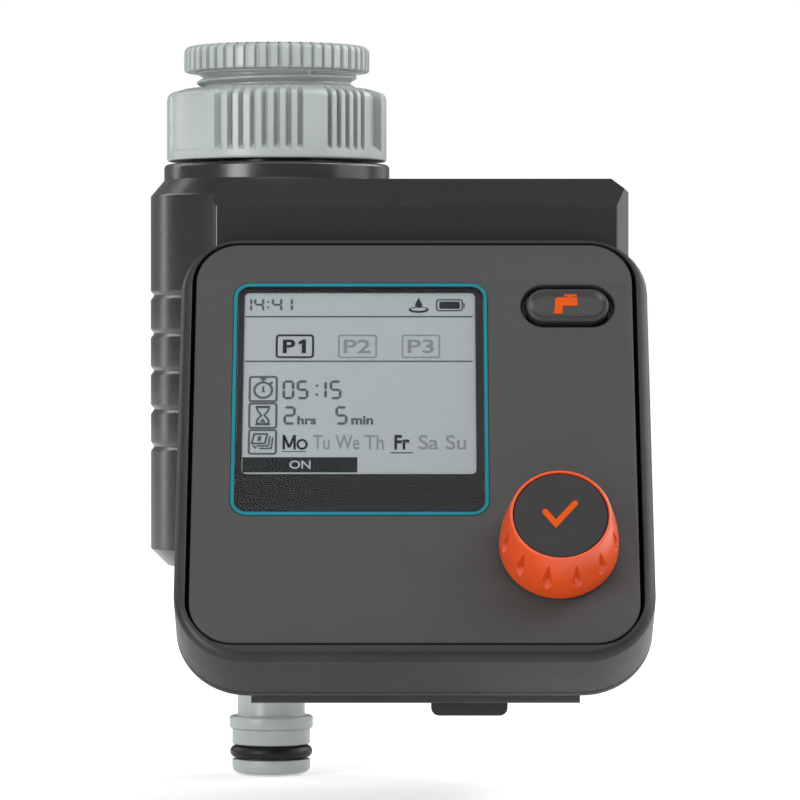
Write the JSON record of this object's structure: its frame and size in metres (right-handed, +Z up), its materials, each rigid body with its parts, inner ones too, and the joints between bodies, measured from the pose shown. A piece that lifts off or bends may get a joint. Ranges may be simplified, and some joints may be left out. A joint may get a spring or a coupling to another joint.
{
  "type": "tap water timer",
  "caption": "Electronic drip irrigation timer that screws onto a tap: round valve column, side wing and a leaning control panel with display, turning knob and hose nipple.",
  "frame": {"origin": "centre of the tap adapter's mouth, on its top face, where the tap screws in", "axes": "+Z up along the tap adapter's thread, out of its mouth; +X to the right of the display; -Y towards the person reading the display"},
  "size_m": [0.1006, 0.1225, 0.1508],
  "materials": {
    "light_grey_plastic": "satin, fine moulded grain",
    "black_housing": "semi-gloss moulded black",
    "case_black": "satin, fine spark-eroded grain",
    "panel_grey": "matt, fine grain",
    "button_grey": "satin",
    "orange_plastic": "satin",
    "teal_print": "gloss",
    "bezel_print": "smooth print",
    "clear_window": "clear, polished",
    "lcd_grey": "smooth reflective liquid crystal",
    "rubber_black": "moulded rubber",
    "stainless_steel": "bright drawn steel",
    "strainer_plastic": "fine moulded mesh",
    "valve_plastic": "glass-filled plastic",
    "copper_wire": "enamelled copper winding",
    "gold_contact": "gold flashed",
    "lead_insulation": "smooth",
    "circuit_board": "solder-masked glass laminate",
    "chip_black": "moulded",
    "holder_white": "moulded",
    "battery_case": "wrapped metal can"
  },
  "bodies": {
    "valve_unit": {"valve_housing": "black_housing", "housing_rear_cover": "black_housing", "housing_seal": "rubber_black", "rear_cover_screws": "stainless_steel", "column_end_cap": "black_housing", "end_cap_screws": "stainless_steel", "nut_retaining_ring": "stainless_steel", "inlet_strainer": "strainer_plastic", "inlet_seal": "rubber_black", "valve_body": "valve_plastic", "diaphragm": "rubber_black", "diaphragm_spring": "stainless_steel", "valve_bonnet": "valve_plastic", "bonnet_screws": "stainless_steel", "solenoid_bobbin": "valve_plastic", "solenoid_coil": "copper_wire", "solenoid_core": "stainless_steel", "solenoid_yoke": "stainless_steel", "plunger_spring": "stainless_steel", "outlet_nipple": "light_grey_plastic", "outlet_o_ring": "rubber_black", "outlet_seal": "rubber_black", "contact_block": "valve_plastic", "contact_pins": "gold_contact", "coil_leads": "lead_insulation"},
    "union_nut": {"union_nut": "light_grey_plastic"},
    "adapter_washer": {"adapter_gasket": "rubber_black"},
    "tap_adapter": {"tap_adapter": "light_grey_plastic"},
    "valve_poppet": {"diaphragm_plate": "valve_plastic"},
    "solenoid_plunger": {"plunger": "stainless_steel", "plunger_seal": "rubber_black"},
    "control_unit": {"control_front_shell": "case_black", "control_rear_shell": "case_black", "shell_gasket": "rubber_black", "case_screws": "stainless_steel", "front_plate": "panel_grey", "display_trim": "teal_print", "display_bezel": "bezel_print", "display_window": "clear_window", "lcd_panel": "lcd_grey", "lcd_backing": "lcd_grey", "lcd_holder": "holder_white", "zebra_strip": "rubber_black", "main_circuit_board": "circuit_board", "board_screws": "stainless_steel", "control_chip": "chip_black", "encoder_body": "chip_black", "ok_switch": "chip_black", "button_seal": "rubber_black", "manual_switch": "chip_black", "battery": "battery_case", "battery_contacts": "stainless_steel", "door_hinge_pin": "stainless_steel", "contact_pads": "gold_contact"},
    "knob": {"knob_ring": "orange_plastic", "encoder_shaft": "chip_black"},
    "ok_button": {"ok_button": "button_grey"},
    "manual_button": {"manual_button": "button_grey"},
    "battery_door": {"battery_door": "case_black", "door_seal": "rubber_black"}
  },
  "joints": [
    {"name": "nut_spin", "type": "hinge", "parent": "valve_unit", "child": "union_nut", "pos_m": [0, 0, -0.0165], "axis": [0, 0, 1], "continuous": true},
    {"name": "adapter_lift", "type": "slide", "parent": "union_nut", "child": "adapter_washer", "axis": [0, 0, 1], "range_m": [0, 0.0088]},
    {"name": "adapter_turn", "type": "hinge", "parent": "adapter_washer", "child": "tap_adapter", "pos_m": [0, 0, -0.009], "axis": [0, 0, 1], "range_deg": [0, 1350]},
    {"name": "control_unit_pull", "type": "slide", "parent": "valve_unit", "child": "control_unit", "axis": [0, -1, 0], "range_m": [0, 0.06]},
    {"name": "knob_turn", "type": "hinge", "parent": "control_unit", "child": "knob", "pos_m": [0.056, -0.0803, -0.10074], "axis": [0, -0.866, 0.5], "continuous": true},
    {"name": "ok_press", "type": "slide", "parent": "control_unit", "child": "ok_button", "axis": [0, 0.866, -0.5], "range_m": [0, 0.0008], "stiffness_N_per_m": 1500},
    {"name": "manual_press", "type": "slide", "parent": "control_unit", "child": "manual_button", "axis": [0, 0.866, -0.5], "range_m": [0, 0.0012], "stiffness_N_per_m": 1200},
    {"name": "battery_door_swing", "type": "hinge", "parent": "control_unit", "child": "battery_door", "pos_m": [0.0286, -0.0366, -0.1292], "axis": [1, 0, 0], "range_deg": [0, 92]},
    {"name": "poppet_lift", "type": "slide", "parent": "valve_unit", "child": "valve_poppet", "axis": [1, 0, 0], "range_m": [0, 0.0024], "stiffness_N_per_m": 400, "deforming": ["diaphragm_spring", "diaphragm"]},
    {"name": "plunger_lift", "type": "slide", "parent": "valve_unit", "child": "solenoid_plunger", "axis": [1, 0, 0], "range_m": [0, 0.0012], "stiffness_N_per_m": 300, "deforming": ["plunger_spring"]}
  ],
  "couplings": [
    {"joint": "adapter_lift", "follows": "adapter_turn", "m_per_rad": 0.00036748}
  ]
}
